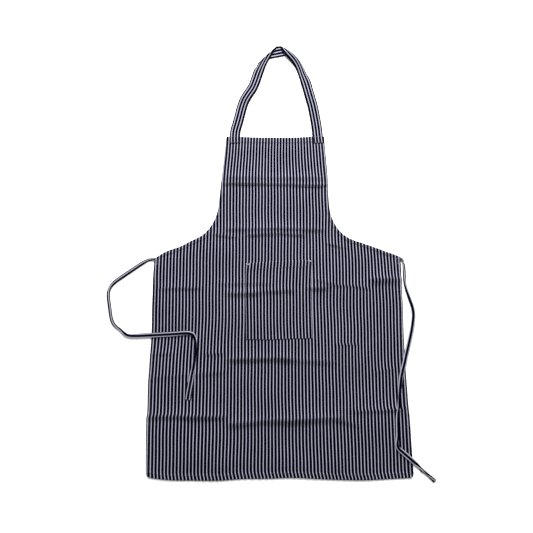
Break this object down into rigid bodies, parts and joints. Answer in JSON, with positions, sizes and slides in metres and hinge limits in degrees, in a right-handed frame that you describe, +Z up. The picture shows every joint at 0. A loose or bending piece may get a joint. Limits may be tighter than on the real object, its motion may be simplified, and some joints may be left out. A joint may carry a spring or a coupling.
{
  "type": "bib apron",
  "caption": "Striped cotton bib apron with a patch pocket, a sewn neck loop and free waist ties, laid out flat.",
  "frame": {"origin": "on the surface that the apron lies on, in the middle of its width and of its length from the bottom hem to the top of the neck loop", "axes": "+X to the right across the apron as seen from its front, +Y from the bottom hem up to the neck loop, +Z up out of the front"},
  "size_m": [0.9003, 1.2805, 0.0128],
  "materials": {
    "striped_twill": "navy and white butcher's stripe cotton twill, stripes along the length, 9.2 mm from one to the next",
    "thread": "matt spun sewing thread"
  },
  "bodies": {
    "apron_body": {"main_panel": "striped_twill", "patch_pocket": "striped_twill", "neck_strap_sewn_ends": "striped_twill", "left_tie_sewn_end": "striped_twill", "right_tie_sewn_end": "striped_twill", "bottom_hem_thread": "thread", "bib_hem_thread": "thread", "left_side_hem_thread": "thread", "right_side_hem_thread": "thread", "left_armhole_thread": "thread", "right_armhole_thread": "thread", "pocket_seam_thread": "thread", "pocket_hem_thread": "thread", "pocket_corner_tacks": "thread", "neck_strap_anchor_threads": "thread", "left_tie_anchor_thread": "thread", "right_tie_anchor_thread": "thread"},
    "neck_loop": {"neck_strap_loop": "striped_twill", "neck_strap_edge_threads": "thread"},
    "left_tie": {"left_waist_tie": "striped_twill", "left_tie_edge_thread": "thread"},
    "right_tie": {"right_waist_tie": "striped_twill", "right_tie_edge_thread": "thread"}
  },
  "joints": [
    {"name": "neck_loop_fold", "type": "hinge", "parent": "apron_body", "child": "neck_loop", "pos_m": [0, 0.3305, 0.0041], "axis": [1, 0, 0], "range_deg": [0, 170]},
    {"name": "left_tie_swing", "type": "hinge", "parent": "apron_body", "child": "left_tie", "pos_m": [-0.36, -0.055, 0.0007], "axis": [0, 0, 1], "range_deg": [-110, 0]},
    {"name": "right_tie_swing", "type": "hinge", "parent": "apron_body", "child": "right_tie", "pos_m": [0.36, -0.055, 0.0007], "axis": [0, 0, 1], "range_deg": [0, 110]}
  ]
}
